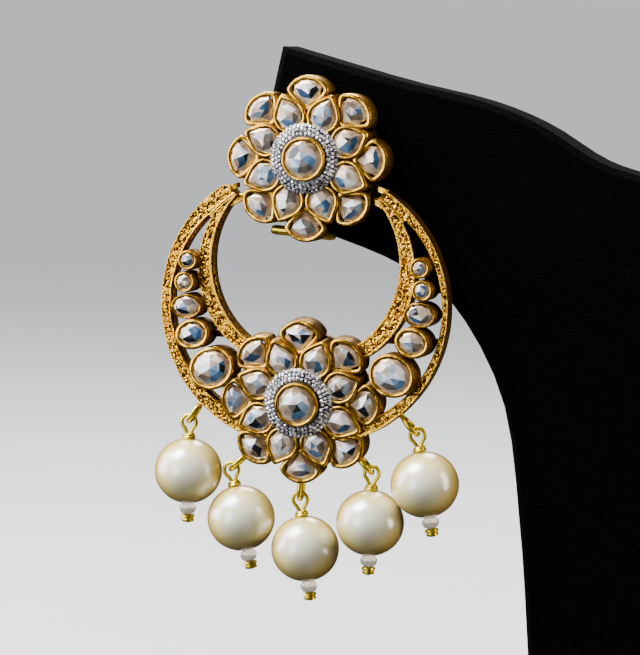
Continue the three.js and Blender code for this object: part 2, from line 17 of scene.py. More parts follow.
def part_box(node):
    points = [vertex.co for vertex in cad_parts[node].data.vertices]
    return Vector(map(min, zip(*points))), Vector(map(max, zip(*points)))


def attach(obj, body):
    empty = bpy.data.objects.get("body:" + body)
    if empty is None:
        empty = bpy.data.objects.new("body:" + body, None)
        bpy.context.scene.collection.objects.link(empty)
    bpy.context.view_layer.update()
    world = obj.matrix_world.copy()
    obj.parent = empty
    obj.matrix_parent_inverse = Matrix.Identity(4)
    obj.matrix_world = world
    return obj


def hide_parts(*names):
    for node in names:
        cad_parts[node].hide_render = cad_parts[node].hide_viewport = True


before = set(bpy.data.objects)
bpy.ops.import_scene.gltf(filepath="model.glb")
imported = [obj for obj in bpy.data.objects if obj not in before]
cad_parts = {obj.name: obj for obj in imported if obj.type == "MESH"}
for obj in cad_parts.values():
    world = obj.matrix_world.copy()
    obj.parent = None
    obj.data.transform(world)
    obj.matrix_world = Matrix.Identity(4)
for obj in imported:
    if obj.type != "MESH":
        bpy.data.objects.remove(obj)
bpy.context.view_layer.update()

# %% [markdown]
# The earring was laid out flat, as a jeweller draws it: x to the right, y up, z towards the front,
# all in millimetres, with the middle of the upper flower at zero and the board's face at z = 0.
# `face` turns such a point into the frame's metres. The middle of the upper flower is read from the
# ring of small stones round it, so the drawing always lands on the solids.

# %% From the jeweller's drawing to the frame
MM = 0.001
RING_BASE = 1.75  # the small-stone ring starts this far in front of the board

ring_low, ring_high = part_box("stud_pave_ring")
flower_middle = (ring_low + ring_high) / 2
board_face = ring_high.y + RING_BASE * MM


def face(x, y, z):
    return Vector((flower_middle.x + x * MM, board_face - z * MM, flower_middle.z + y * MM))


def on_stud(x, y, z):
    return face(x, y, z + 0.5)


LOWER_TILT = math.radians(5)


def on_crescent_flower(x, y, z):
    c = math.cos(LOWER_TILT)
    s = math.sin(LOWER_TILT)
    return face(x - 0.3, y * c - z * s - 31.7, y * s + z * c + 0.6)


print("upper flower at", [round(v / MM, 2) for v in face(0, 0, 0)], "mm")

# %% [markdown]
# ## Colour and nodes
# Colours are written as the hex values a painter's colour picker shows, and one function turns them
# into the linear light that Blender mixes. One more small function adds any node, sets its
# properties and fills its inputs, either with a value or with a link from another node.

# %% Two helpers for materials


def linear(hex_colour, alpha=1.0):
    values = [int(hex_colour[i : i + 2], 16) / 255 for i in (1, 3, 5)]
    return [v / 12.92 if v <= 0.04045 else ((v + 0.055) / 1.055) ** 2.4 for v in values] + [alpha]


def add(tree, kind, inputs=None, **settings):
    new = tree.nodes.new(kind)
    for key, value in settings.items():
        setattr(new, key, value)
    for key, value in (inputs or {}).items():
        if isinstance(value, bpy.types.NodeSocket):
            tree.links.new(value, new.inputs[key])
        else:
            new.inputs[key].default_value = value
    return new


def start_material(name):
    material = bpy.data.materials.new(name)
    material.use_nodes = True
    material.node_tree.nodes.clear()
    return material, material.node_tree


def end_material(tree, shader):
    add(tree, "ShaderNodeOutputMaterial", {"Surface": shader.outputs[0]})


def ramp(tree, fac, stops, mode="LINEAR"):
    new = add(tree, "ShaderNodeValToRGB", {"Fac": fac})
    new.color_ramp.interpolation = mode
    while len(new.color_ramp.elements) < len(stops):
        new.color_ramp.elements.new(0.5)
    for element, (place, colour) in zip(new.color_ramp.elements, stops):
        element.position = place
        element.color = linear(colour)
    return new.outputs["Color"]


def grain_scale(size_mm):
    """Texture scale that makes one feature about this many millimetres across."""
    return 1 / (size_mm * MM)


print("white is", linear("#ffffff"), "and mid grey is", [round(v, 3) for v in linear("#808080")[:3]])

# %% [markdown]
# ## Gold
# The metal is a copper alloy, cast, then plated with yellow gold and left dark in the hollows, as
# antique-finish temple jewellery is. Bare gold is a metal with no colour of its own under the
# reflections, so its base colour is its reflection colour. The dark hollows are old plating salts and
# polish: browner, rougher and less metallic. Each mesh gives every point a darkness value, so the
# patina lands exactly in the dips of the real surface. The same value also paints shade: the walls of
# the cups, the grooves, the plates and struts lying back and the backs of the bands are darkened
# with the same brown where shadow would fall. A finer grain of about 0.25 mm breaks up the rest.
# That gives the eye a bright lemon edge next to deep brown.

# %% Gold materials


def gold_material(name, bright, shade, grain_mm, grain_depth, roughness, dark, speckle):
    material, tree = start_material(name)
    where = add(tree, "ShaderNodeTexCoord").outputs["Object"]
    patina_and_shade = add(tree, "ShaderNodeAttribute", attribute_name="patina_and_shade").outputs["Fac"]
    grain = add(
        tree,
        "ShaderNodeTexNoise",
        {"Vector": where, "Scale": grain_scale(grain_mm), "Detail": 3.0, "Roughness": 0.6},
    ).outputs["Fac"]
    blotch = add(
        tree, "ShaderNodeTexNoise", {"Vector": where, "Scale": grain_scale(2.2), "Detail": 2.0}
    ).outputs["Fac"]
    tint = add(
        tree,
        "ShaderNodeMix",
        {"Factor": blotch, "A": linear(bright), "B": linear(shade)},
        data_type="RGBA",
    ).outputs["Result"]
    rough_pit = add(tree, "ShaderNodeMath", {0: grain, 1: -0.5}, operation="ADD").outputs[0]
    depth = add(
        tree, "ShaderNodeMath", {0: rough_pit, 1: speckle, 2: patina_and_shade}, operation="MULTIPLY_ADD", use_clamp=True
    ).outputs[0]
    shown = add(
        tree, "ShaderNodeMapRange", {"Value": depth, "From Min": 0.28, "From Max": 0.75, "To Max": dark}
    ).outputs["Result"]
    # The dark brown is patina in the dips of the stippled skin and painted shade on cup walls, in grooves and on
    # parts that lie back.
    colour = add(
        tree,
        "ShaderNodeMix",
        {"Factor": shown, "A": tint, "B": linear("#2a1204")},
        data_type="RGBA",
    ).outputs["Result"]
    gloss = add(
        tree, "ShaderNodeMapRange", {"Value": shown, "To Min": roughness, "To Max": 0.55}
    ).outputs["Result"]
    bump = add(
        tree,
        "ShaderNodeBump",
        {"Height": grain, "Distance": grain_depth * MM, "Strength": 1.0},
    ).outputs["Normal"]
    shader = add(
        tree,
        "ShaderNodeBsdfPrincipled",
        {"Base Color": colour, "Metallic": 1.0, "Roughness": gloss, "Normal": bump},
    )
    end_material(tree, shader)
    return material


stippled_gold = gold_material("cast_gold_stippled", "#ffcd3c", "#cc861a", 0.26, 0.06, 0.26, 0.97, 2.4)
polished_gold = gold_material("cast_gold_polished", "#ffcf46", "#c8821c", 0.60, 0.03, 0.25, 0.9, 1.3)
wire_gold = gold_material("drawn_brass_wire", "#f2dc38", "#cdb020", 0.50, 0.02, 0.34, 0.7, 0.9)
GOLD_FINISHES = [stippled_gold, polished_gold, wire_gold]
print("gold:", [finish.name for finish in GOLD_FINISHES])

# %% [markdown]
# ## Stones over foil
# The clear stones are rose-cut glass closed in over silver foil, the old kundan way. The glass is
# barely a millimetre thick and the foil lies right under it, so the eye sees one thing: flat facets
# of white, steel blue and slate, each leaning to another part of the room, under a hard bright gloss.
# Clear glass over a separate foil cup would be the literal way, but light finds its way through a
# closed cup of glass only by chance, and the foil comes out blotchy. So each stone is one faceted
# body, slightly metallic and satin, under a coat of clear glass with an index of 1.52, and its facets
# carry painted reflections: white, steel blue and slate tones in the colour, standing for the parts of
# the room the foil would mirror. A milky, honey-coloured rim is left where the setter's lac shows
# through, painted darker towards the top as shade.

# %% Foiled glass


def foiled_glass():
    material, tree = start_material("rose_cut_glass_over_foil")
    tone = add(tree, "ShaderNodeAttribute", attribute_name="tone").outputs["Color"]
    where = add(tree, "ShaderNodeTexCoord").outputs["Object"]
    crease = add(
        tree, "ShaderNodeTexNoise", {"Vector": where, "Scale": grain_scale(1.1), "Detail": 1.0}
    ).outputs["Fac"]
    shade = add(
        tree, "ShaderNodeMapRange", {"Value": crease, "From Min": 0.3, "From Max": 0.7, "To Min": 0.55, "To Max": 1.1}
    ).outputs["Result"]
    colour = add(
        tree,
        "ShaderNodeMix",
        {"Factor": 1.0, "A": tone, "B": shade},
        data_type="RGBA",
        blend_type="MULTIPLY",
    ).outputs["Result"]
    gloss = add(
        tree, "ShaderNodeMapRange", {"Value": crease, "To Min": 0.22, "To Max": 0.4}
    ).outputs["Result"]
    shader = add(
        tree,
        "ShaderNodeBsdfPrincipled",
        {
            "Base Color": colour,
            "Metallic": 0.5,
            "Roughness": gloss,
            "Coat Weight": 1.0,
            "Coat Roughness": 0.03,
            "Coat IOR": 1.52,
        },
    )
    end_material(tree, shader)
    return material


foil = foiled_glass()
# Painted reflections: facets towards the top of a stone mostly take the first list and those towards the bottom the
# second. The rim tones are the lac, painted darker towards the top as shade.
PAINTED_UPPER_REFLECTIONS = ["#ffffff", "#fff6f0", "#d9d7de", "#f6e3d0", "#ffffff", "#a9b8c8", "#bda78e"]
PAINTED_LOWER_REFLECTIONS = ["#5c84a8", "#3b5f82", "#14181e", "#6e665e", "#8fa6ba", "#fff8f2", "#d6bea2", "#8a7660"]
RIM_TONES = ["#b08f6c", "#d6b894", "#e9d3b6", "#fff2e0"]
print("foil tones:", len(PAINTED_UPPER_REFLECTIONS) + len(PAINTED_LOWER_REFLECTIONS), "rim tones:", len(RIM_TONES))

# %% [markdown]
# ## Rhodium, pearl and velvet
# The rings of tiny stones are plated with rhodium, a white metal that keeps bright; the dark given to
# it under and between the tiny stones is painted shade. The pearls are shell beads under many thin
# coats of pearl lacquer: a creamy body, a pale bluish middle where they face the camera, which is a
# painted highlight standing for the bloom of the light, and a warm olive-gold edge, partly because
# the coats look thicker seen at a slant and partly painted shade, darkest at the very edge. Layer
# Weight gives that slant. Lacquer full of mica flakes reflects more than clear lacquer does, and an
# index of 1.9 stands for the flakes. The board is covered in black velvet, whose pile swallows light
# except along grazing edges, so it is nearly black, quite rough, and has a thin sheen over a pile of
# 0.4 mm.

# %% Rhodium, pearl lacquer, velvet and bead glass


def rhodium():
    material, tree = start_material("rhodium_plate")
    where = add(tree, "ShaderNodeTexCoord").outputs["Object"]
    patina_and_shade = add(tree, "ShaderNodeAttribute", attribute_name="patina_and_shade").outputs["Fac"]
    grain = add(
        tree, "ShaderNodeTexNoise", {"Vector": where, "Scale": grain_scale(0.3), "Detail": 2.0}
    ).outputs["Fac"]
    # Painted shade: the darkness value turns the white metal near black under and between the tiny stones.
    colour = add(
        tree,
        "ShaderNodeMix",
        {"Factor": patina_and_shade, "A": linear("#dfe2e8"), "B": linear("#26282d")},
        data_type="RGBA",
    ).outputs["Result"]
    bump = add(tree, "ShaderNodeBump", {"Height": grain, "Distance": 0.05 * MM}).outputs["Normal"]
    shader = add(
        tree,
        "ShaderNodeBsdfPrincipled",
        {"Base Color": colour, "Metallic": 1.0, "Roughness": 0.22, "Normal": bump},
    )
    end_material(tree, shader)
    return material


def pearl_lacquer():
    material, tree = start_material("pearl_lacquer")
    where = add(tree, "ShaderNodeTexCoord").outputs["Object"]
    slant = add(tree, "ShaderNodeLayerWeight", {"Blend": 0.5}).outputs["Facing"]
    cloud = add(
        tree, "ShaderNodeTexNoise", {"Vector": where, "Scale": grain_scale(3.0), "Detail": 3.0}
    ).outputs["Fac"]
    shift = add(
        tree, "ShaderNodeMath", {0: cloud, 1: 0.10, 2: slant}, operation="MULTIPLY_ADD"
    ).outputs[0]
    # Painted highlight and shade: the colour runs from a pale bluish cream where the pearl faces the camera, standing
    # for the bloom of the light, to a dark olive-gold at its edge.
    body = ramp(
        tree, shift, [(0.05, "#e4e6cf"), (0.35, "#ecdc92"), (0.68, "#cfac45"), (1.0, "#876a1c")]
    )
    bump = add(tree, "ShaderNodeBump", {"Height": cloud, "Distance": 0.02 * MM}).outputs["Normal"]
    shader = add(
        tree,
        "ShaderNodeBsdfPrincipled",
        {
            "Base Color": body,
            "Roughness": 0.28,
            "IOR": 1.9,
            "Specular IOR Level": 0.9,
            "Specular Tint": linear("#cfe0ff"),
            "Coat Weight": 0.9,
            "Coat Roughness": 0.24,
            "Sheen Weight": 0.12,
            "Sheen Roughness": 0.35,
            "Sheen Tint": linear("#fff0c8"),
            "Normal": bump,
        },
    )
    end_material(tree, shader)
    return material


def black_velvet():
    material, tree = start_material("black_velvet")
    where = add(tree, "ShaderNodeTexCoord").outputs["Object"]
    pile = add(
        tree, "ShaderNodeTexNoise", {"Vector": where, "Scale": grain_scale(0.4), "Detail": 3.0}
    ).outputs["Fac"]
    stroke = add(
        tree, "ShaderNodeTexNoise", {"Vector": where, "Scale": grain_scale(14.0), "Detail": 2.0}
    ).outputs["Fac"]
    colour = add(
        tree,
        "ShaderNodeMix",
        {"Factor": stroke, "A": linear("#010101"), "B": linear("#020202")},
        data_type="RGBA",
    ).outputs["Result"]
    bump = add(tree, "ShaderNodeBump", {"Height": pile, "Distance": 0.3 * MM}).outputs["Normal"]
    shader = add(
        tree,
        "ShaderNodeBsdfPrincipled",
        {
            "Base Color": colour,
            "Roughness": 0.95,
            "Specular IOR Level": 0.03,
            "Sheen Weight": 0.03,
            "Sheen Roughness": 0.3,
            "Sheen Tint": linear("#50525a"),
            "Normal": bump,
        },
    )
    end_material(tree, shader)
    return material


def bead_glass():
    material, tree = start_material("pressed_glass_bead")
    where = add(tree, "ShaderNodeTexCoord").outputs["Object"]
    swirl = add(
        tree, "ShaderNodeTexNoise", {"Vector": where, "Scale": grain_scale(0.8), "Detail": 2.0}
    ).outputs["Fac"]
    colour = add(
        tree,
        "ShaderNodeMix",
        {"Factor": swirl, "A": linear("#f3ecdf"), "B": linear("#d9c7a6")},
        data_type="RGBA",
    ).outputs["Result"]
    shader = add(
        tree,
        "ShaderNodeBsdfPrincipled",
        {"Base Color": colour, "Roughness": 0.08, "IOR": 1.5, "Transmission Weight": 0.7},
    )
    end_material(tree, shader)
    return material


white_metal = rhodium()
pearl_coat = pearl_lacquer()
velvet = black_velvet()
bead_clear = bead_glass()
print("materials:", [m.name for m in bpy.data.materials if m.users == 0])

# %% [markdown]
# ## Meshes from rings
# Jewellery is full of walls that follow an outline: bezels, bands, beads, wires. All of them can be
# lofted: a stack of rings with the same number of points, joined ring to ring with four-sided faces.
# A batch gathers many such walls into one mesh, with the darkness value of each point (patina in
# hollows and painted shade in recesses), the tone of each face (painted reflections and painted
# shade on the stones) and which finish it takes. Edges that turn sharply are marked sharp, and the
# rest is shaded smooth, so a wall looks round and its arris stays crisp.

# %% Batches and lofts
SHARP = math.radians(38)


def new_batch():
    return {"points": [], "patina_and_shade_values": [], "faces": [], "finish": [], "tones": []}


def add_face(batch, corners, finish=0, tone="#ffffff"):
    batch["faces"].append(corners)
    batch["finish"].append(finish)
    batch["tones"].append(tone)


def loft(batch, rings, patina_and_shade_values=None, finish=0, cap_first=False, cap_last=False, round_trip=False):
    """Joins rings of points. The darkness values, patina in hollows and painted shade in recesses, come one for each
    ring, or one for each point of each ring.
    """
    start = len(batch["points"])
    count = len(rings[0])
    for index, ring in enumerate(rings):
        value = patina_and_shade_values[index] if patina_and_shade_values else 0.0
        batch["points"].extend(ring)
        batch["patina_and_shade_values"].extend(value if isinstance(value, list) else [value] * count)
    steps = len(rings) if round_trip else len(rings) - 1
    for r in range(steps):
        a = start + r * count
        b = start + ((r + 1) % len(rings)) * count
        for i in range(count):
            j = (i + 1) % count
            add_face(batch, (a + i, a + j, b + j, b + i), finish)
    if cap_first:
        add_face(batch, tuple(start + i for i in reversed(range(count))), finish)
    if cap_last:
        last = start + (len(rings) - 1) * count
        add_face(batch, tuple(last + i for i in range(count)), finish)


def circle(steps):
    """Cosine and sine of each of the even steps once round."""
    return [(math.cos(2 * math.pi * i / steps), math.sin(2 * math.pi * i / steps)) for i in range(steps)]


def build(name, batch, materials, body, stands_for=(), flat=False):
    mesh = bpy.data.meshes.new(name)
    mesh.from_pydata([tuple(p) for p in batch["points"]], [], batch["faces"])
    mesh.attributes.new("patina_and_shade", "FLOAT", "POINT").data.foreach_set("value", batch["patina_and_shade_values"])
    tones = [v for tone in batch["tones"] for v in linear(tone)]
    mesh.attributes.new("tone", "FLOAT_COLOR", "FACE").data.foreach_set("color", tones)
    for material in materials:
        mesh.materials.append(material)
    mesh.polygons.foreach_set("material_index", batch["finish"])
    work = bmesh.new()
    work.from_mesh(mesh)
    bmesh.ops.recalc_face_normals(work, faces=work.faces)
    for facet in work.faces:
        facet.smooth = not flat
    for edge in work.edges:
        if len(edge.link_faces) == 2 and edge.calc_face_angle() > SHARP:
            edge.smooth = False
    work.to_mesh(mesh)
    work.free()
    piece = bpy.data.objects.new(name, mesh)
    bpy.context.scene.collection.objects.link(piece)
    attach(piece, body)
    if stands_for:
        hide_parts(*stands_for)
    return piece


def wobble(point, size_mm, seed=0.0):
    """Smooth noise from -1 to 1 with waves about this long: the unevenness of handwork."""
    return noise.noise(point / (size_mm * MM) + Vector((seed, 0, 0)))


print("helpers ready; sharp edges above", round(math.degrees(SHARP)), "degrees")

# %% [markdown]
# ## Outlines
# The flower has eight outer cups, round outside with a right-angled wedge pointing inwards, and eight
# raised inner cups shaped like drops that point outwards. Every outline is a function of an inset, so
# the outside of a wall, its inside and each ring of a stone's facets are the same curve drawn
# smaller. Corners are softened the way a file and a polishing wheel soften them.

# %% Petal and oval outlines
OUTER = {"centre": 7.75, "round": 3.2, "apex": 5.75, "wall": 0.62}
INNER = {"centre": 5.95, "round": 2.3, "tip": 9.3, "wall": 0.55}
ARC_STEPS = 26
EDGE_STEPS = 6


def soften(points, times):
    for _ in range(times):
        count = len(points)
        points = [
            tuple((points[i - 1][k] + 2 * points[i][k] + points[(i + 1) % count][k]) / 4 for k in (0, 1))
            for i in range(count)
        ]
    return points


def wedge_and_arc(tip, centre, radius, start, finish):
    """A closed outline from a tip on the axis, along an edge, round an arc and back."""
    arc = []
    for i in range(ARC_STEPS + 1):
        angle = start + (finish - start) * i / ARC_STEPS
        arc.append((centre + radius * math.cos(angle), radius * math.sin(angle)))
    going = [
        (tip + (arc[0][0] - tip) * i / EDGE_STEPS, arc[0][1] * i / EDGE_STEPS) for i in range(EDGE_STEPS)
    ]
    coming = [(x, -y) for x, y in reversed(going[1:])]
    return going + arc + coming


def outer_petal(inset):
    radius = OUTER["round"] - inset
    tip = OUTER["apex"] + inset * math.sqrt(2)
    reach = tip - OUTER["centre"]
    side = (-reach + math.sqrt(2 * radius * radius - reach * reach)) / 2
    start = math.atan2(side, reach + side)
    return soften(wedge_and_arc(tip, OUTER["centre"], radius, -start, start), 2)


def inner_petal(inset):
    radius = INNER["round"] - inset
    spread = math.asin(INNER["round"] / (INNER["tip"] - INNER["centre"]))
    tip = INNER["centre"] + radius / math.sin(spread)
    start = math.pi / 2 - spread
    return soften(wedge_and_arc(tip, INNER["centre"], radius, start, 2 * math.pi - start), 2)


def oval(long, wide):
    def outline(inset):
        steps = 40
        return [
            (
                (long / 2 - inset) * math.cos(2 * math.pi * i / steps),
                (wide / 2 - inset) * math.sin(2 * math.pi * i / steps),
            )
            for i in range(steps)
        ]

    return outline


def turned(outline, angle, x=0.0, y=0.0):
    c = math.cos(angle)
    s = math.sin(angle)
    return lambda inset: [(x + u * c - v * s, y + u * s + v * c) for u, v in outline(inset)]


print("points in a petal outline:", len(outer_petal(0)), len(inner_petal(0)))

# %% [markdown]
# ## Bezels and stones
# A bezel is a thin wall pushed over the edge of its stone. It could be a tube with thickness from a
# modifier, but its rim is what catches the light, so the rim's section is drawn: up the outside,
# round over the top and down the inside, with a little unevenness from the setter's tool. The walls
# are darkened below the rim, outside towards the foot and inside towards the stone: painted shade,
# with some patina, so only the top of the rim stays bright. The stone inside is cut as a rose: a ring
# of long facets at the edge, a ring of triangles above, and a small flat on top. Each facet takes one
# painted tone that stands for what its foil would reflect: facets towards the top of the stone mostly
# get a painted bright reflection, those towards the bottom mostly a deep one, and neighbours often
# share one, as they do where foil lies smooth under glass. The rim of lac round the stone is painted
# darker towards the top, as shade from the upper wall.

# %% Bezel and rose-cut stone


def add_bezel(batch, outline, place, low, rim, wall, floor, finish=0, seed=0.0):
    # Painted shade: the third number of each step darkens the outer wall towards its foot and the inner wall down
    # towards the stone, so only the top of the rim stays bright.
    section = [
        (0.02, low, 0.95),
        (0.0, low + 0.3 * (rim - low), 0.85),
        (0.0, low + 0.6 * (rim - low), 0.6),
        (0.0, rim - 0.45, 0.6),
        (0.02, rim - 0.2, 0.5),
        (0.1, rim - 0.04, 0.15),
        (0.2, rim, 0.0),
        (wall - 0.18, rim - 0.01, 0.0),
        (wall - 0.06, rim - 0.05, 0.0),
        (wall, rim - 0.16, 0.2),
        (wall, floor, 0.8),
    ]
    rings = []
    patina_and_shade_values = []
    for inset, height, patina_and_shade in section:
        ring = []
        for x, y in outline(inset):
            point = place(x, y, height)
            lift = wobble(point, 1.3, seed) * 0.07 * (height - low) / (rim - low)
            ring.append(place(x, y, height + lift))
        rings.append(ring)
        patina_and_shade_values.append(patina_and_shade)
    loft(batch, rings, patina_and_shade_values, finish)


def pick(points, count, shift=0.0):
    return [points[int((i + shift) * len(points) / count) % len(points)] for i in range(count)]


def add_stone(batch, outline, place, edge, girdle, top, facets, size, dice):
    """A low faceted dome. size is the inset from the edge to the middle."""
    border = outline(edge)
    middle_x = sum(x for x, _ in border) / len(border)
    middle_y = sum(y for _, y in border) / len(border)
    spread = max(y for _, y in border) - middle_y
    half = facets // 2
    off = 0.14 * size
    rise = top - girdle
    rings = [
        (pick(border, facets), girdle - 0.5),
        (pick(border, facets), girdle),
        (pick(outline(edge + 0.28 * size), facets, 0.5), girdle + 0.6 * rise),
        (pick(outline(edge + 0.66 * size), half, 0.25), girdle + 0.92 * rise),
        ([(middle_x + dice.uniform(-off, off), middle_y + dice.uniform(-off, off))], top),
    ]
    start = len(batch["points"])
    heights = []
    for ring, high in rings:
        for x, y in ring:
            batch["points"].append(place(x, y, high))
            batch["patina_and_shade_values"].append(0.0)
            heights.append((y - middle_y) / spread)

    def tone_at(*corners):
        """Painted reflection: a facet towards the top of the stone mostly gets a bright tone, as if its foil mirrored
        the lit room, and one towards the bottom mostly a deep tone, as if it mirrored the dark below.
        """
        up = sum(heights[k - start] for k in corners) / len(corners) + dice.uniform(-0.6, 0.6)
        return dice.choice(PAINTED_UPPER_REFLECTIONS if up > 0.08 else PAINTED_LOWER_REFLECTIONS)

    def add_rim(*corners):
        """The lac under the rim is darkest in the shade of the upper wall."""
        up = sum(heights[k - start] for k in corners) / len(corners) + dice.uniform(-0.3, 0.3)
        add_face(batch, corners, 0, RIM_TONES[min(3, max(0, int(1.6 - 1.8 * up)))])

    bottom, a, b = start, start + facets, start + 2 * facets
    c = b + facets
    d = c + half
    add_face(batch, tuple(bottom + i for i in reversed(range(facets))), 0, RIM_TONES[0])
    for i in range(facets):
        j = (i + 1) % facets
        add_face(batch, (bottom + i, bottom + j, a + j, a + i), 0, RIM_TONES[0])
        add_rim(a + i, a + j, b + i)
        add_rim(b + i, a + j, b + j)
    for i in range(half):
        j = (i + 1) % half
        low_edge = (b + 2 * i, b + 2 * i + 1, c + i)
        side_edge = (b + 2 * i + 1, b + (2 * i + 2) % facets, c + j)
        between = (b + 2 * i + 1, c + j, c + i)
        shared = tone_at(*low_edge)
        add_face(batch, low_edge, 0, shared)
        add_face(batch, between, 0, shared)
        add_face(batch, side_edge, 0, dice.choice([shared, tone_at(*side_edge)]))
        add_face(batch, (c + i, c + j, d), 0, dice.choice([shared, tone_at(c + i, c + j)]))


STONE_FINISHES = [foil]
print("a stone with 8 edge facets has", 1 + 8 * 3 + 4 * 4, "faces")

# %% [markdown]
# ## Flower settings
# One function makes a whole flower: the plate behind, the outer cups, the raised inner cups and the
# tall bezel in the middle. The small drop-shaped stones of the inner cups are part of the metal in
# the solid model, and here they are cut glass like the others, held by the same piece.

# %% Flower metal and its small stones
PETALS = 8
FLOWER_HEIGHTS = {"outer": 3.6, "inner": 4.2, "bezel": 5.5}


def add_flower_metal(batch, place, seed):
    section = [
        # radius, height, darkness: painted shade on the plate lying behind the cups
        (0.1, 0.0, 0.6), (9.1, 0.0, 0.6), (9.1, 1.0, 0.9), (6.0, 1.2, 1.0), (5.7, 2.7, 0.9), (0.1, 2.8, 0.8),
    ]
    plate = [[place(radius * c, radius * s, height) for c, s in circle(64)] for radius, height, _ in section]
    loft(batch, plate, [patina_and_shade for _, _, patina_and_shade in section], 0, True, True)
    for i in range(PETALS):
        angle = 2 * math.pi * i / PETALS
        cup = turned(outer_petal, angle)
        add_bezel(batch, cup, place, 0.0, FLOWER_HEIGHTS["outer"], OUTER["wall"], 2.0, 1, seed + i)
        angle += math.pi / PETALS
        cup = turned(inner_petal, angle)
        add_bezel(batch, cup, place, 0.9, FLOWER_HEIGHTS["inner"], INNER["wall"], 2.4, 1, seed + 9 + i)
    middle = oval(5.9, 5.9)
    add_bezel(batch, middle, place, 1.0, FLOWER_HEIGHTS["bezel"], 0.5, 3.4, 1, seed + 20)


def inner_stones(name, place, body, dice):
    batch = new_batch()
    for i in range(PETALS):
        outline = turned(inner_petal, 2 * math.pi * (i + 0.5) / PETALS)
        add_stone(batch, outline, place, INNER["wall"] - 0.04, 4.05, 4.45, 8, 1.5, dice)
    build(name, batch, STONE_FINISHES, body, (), flat=True)


def outer_stones(prefix, place, body, dice):
    for i in range(PETALS):
        batch = new_batch()
        outline = turned(outer_petal, 2 * math.pi * i / PETALS)
        add_stone(batch, outline, place, OUTER["wall"] - 0.04, 3.42, 3.95, 8, 1.7, dice)
        node = f"{prefix}_petal_stone_{i + 1}"
        build(f"{prefix}_petal_cut_{i + 1}", batch, STONE_FINISHES, body, (node,), flat=True)


def middle_stone(prefix, place, body, dice):
    batch = new_batch()
    outline = turned(oval(5.9, 5.9), 0.3)
    add_stone(batch, outline, place, 0.46, 5.28, 5.75, 10, 2.1, dice)
    node = f"{prefix}_middle_stone"
    build(f"{prefix}_middle_cut", batch, STONE_FINISHES, body, (node,), flat=True)


dice = random.Random(7)
FLOWERS = [("stud", on_stud, "stand"), ("flower", on_crescent_flower, "crescent")]
for prefix, place, body in FLOWERS:
    outer_stones(prefix, place, body, dice)
    middle_stone(prefix, place, body, dice)
    inner_stones(f"{prefix}_inner_cuts", place, body, dice)
    print(prefix, "stones set on body", body)

# %% [markdown]
# ## Rings of tiny stones
# Round each middle stone lies a domed rhodium ring, paved with three rows of stones about 0.5 mm
# across, with tiny raised grains of the same metal between them. A modifier could scatter them, but
# rows laid one by one keep them touching and let each row sit on the dome. Each stone is an
# eight-sided cone with a flat top.

# %% Paved rings
# Painted sparkle: the facets of each tiny stone take tones picked at random from mostly white, some grey and a near
# black, standing for its glints and dark reflections.
PAVE_PAINTED_SPARKLE = ["#ffffff", "#ffffff", "#ffffff", "#f3effa", "#d9d4e6", "#8d879c", "#34303a"]
PAVE_ROWS = [(3.38, 4.82, 0.1), (3.88, 4.68, 0.3), (4.38, 4.38, 0.65)]
GEM = 0.255


def add_cone_gem(batch, place, x, y, z, lean_x, lean_y, radius, tone, finish):
    sides = 8
    bottom = []
    rim = []
    table = []
    spin = (x * 7 + y * 3) % 1.0
    for i in range(sides):
        angle = 2 * math.pi * (i + spin) / sides
        u = math.cos(angle)
        v = math.sin(angle)
        tilt = u * lean_x + v * lean_y
        bottom.append(place(x + 0.6 * radius * u, y + 0.6 * radius * v, z - 0.2 - 0.6 * radius * tilt))
        rim.append(place(x + radius * u, y + radius * v, z - radius * tilt))
        table.append(place(x + 0.5 * radius * u, y + 0.5 * radius * v, z + 0.13 - 0.5 * radius * tilt))
    start = len(batch["points"])
    for ring in (bottom, rim, table):
        batch["points"].extend(ring)
        batch["patina_and_shade_values"].extend([0.0] * sides)
    for i in range(sides):
        j = (i + 1) % sides
        add_face(batch, (start + i, start + j, start + sides + j, start + sides + i), finish, tone)
        add_face(
            batch,
            (start + sides + i, start + sides + j, start + 2 * sides + j, start + 2 * sides + i),
            finish,
            dice.choice(PAVE_PAINTED_SPARKLE),
        )
    add_face(batch, tuple(start + 2 * sides + i for i in range(sides)), finish, tone)
    add_face(batch, tuple(start + i for i in reversed(range(sides))), finish, tone)


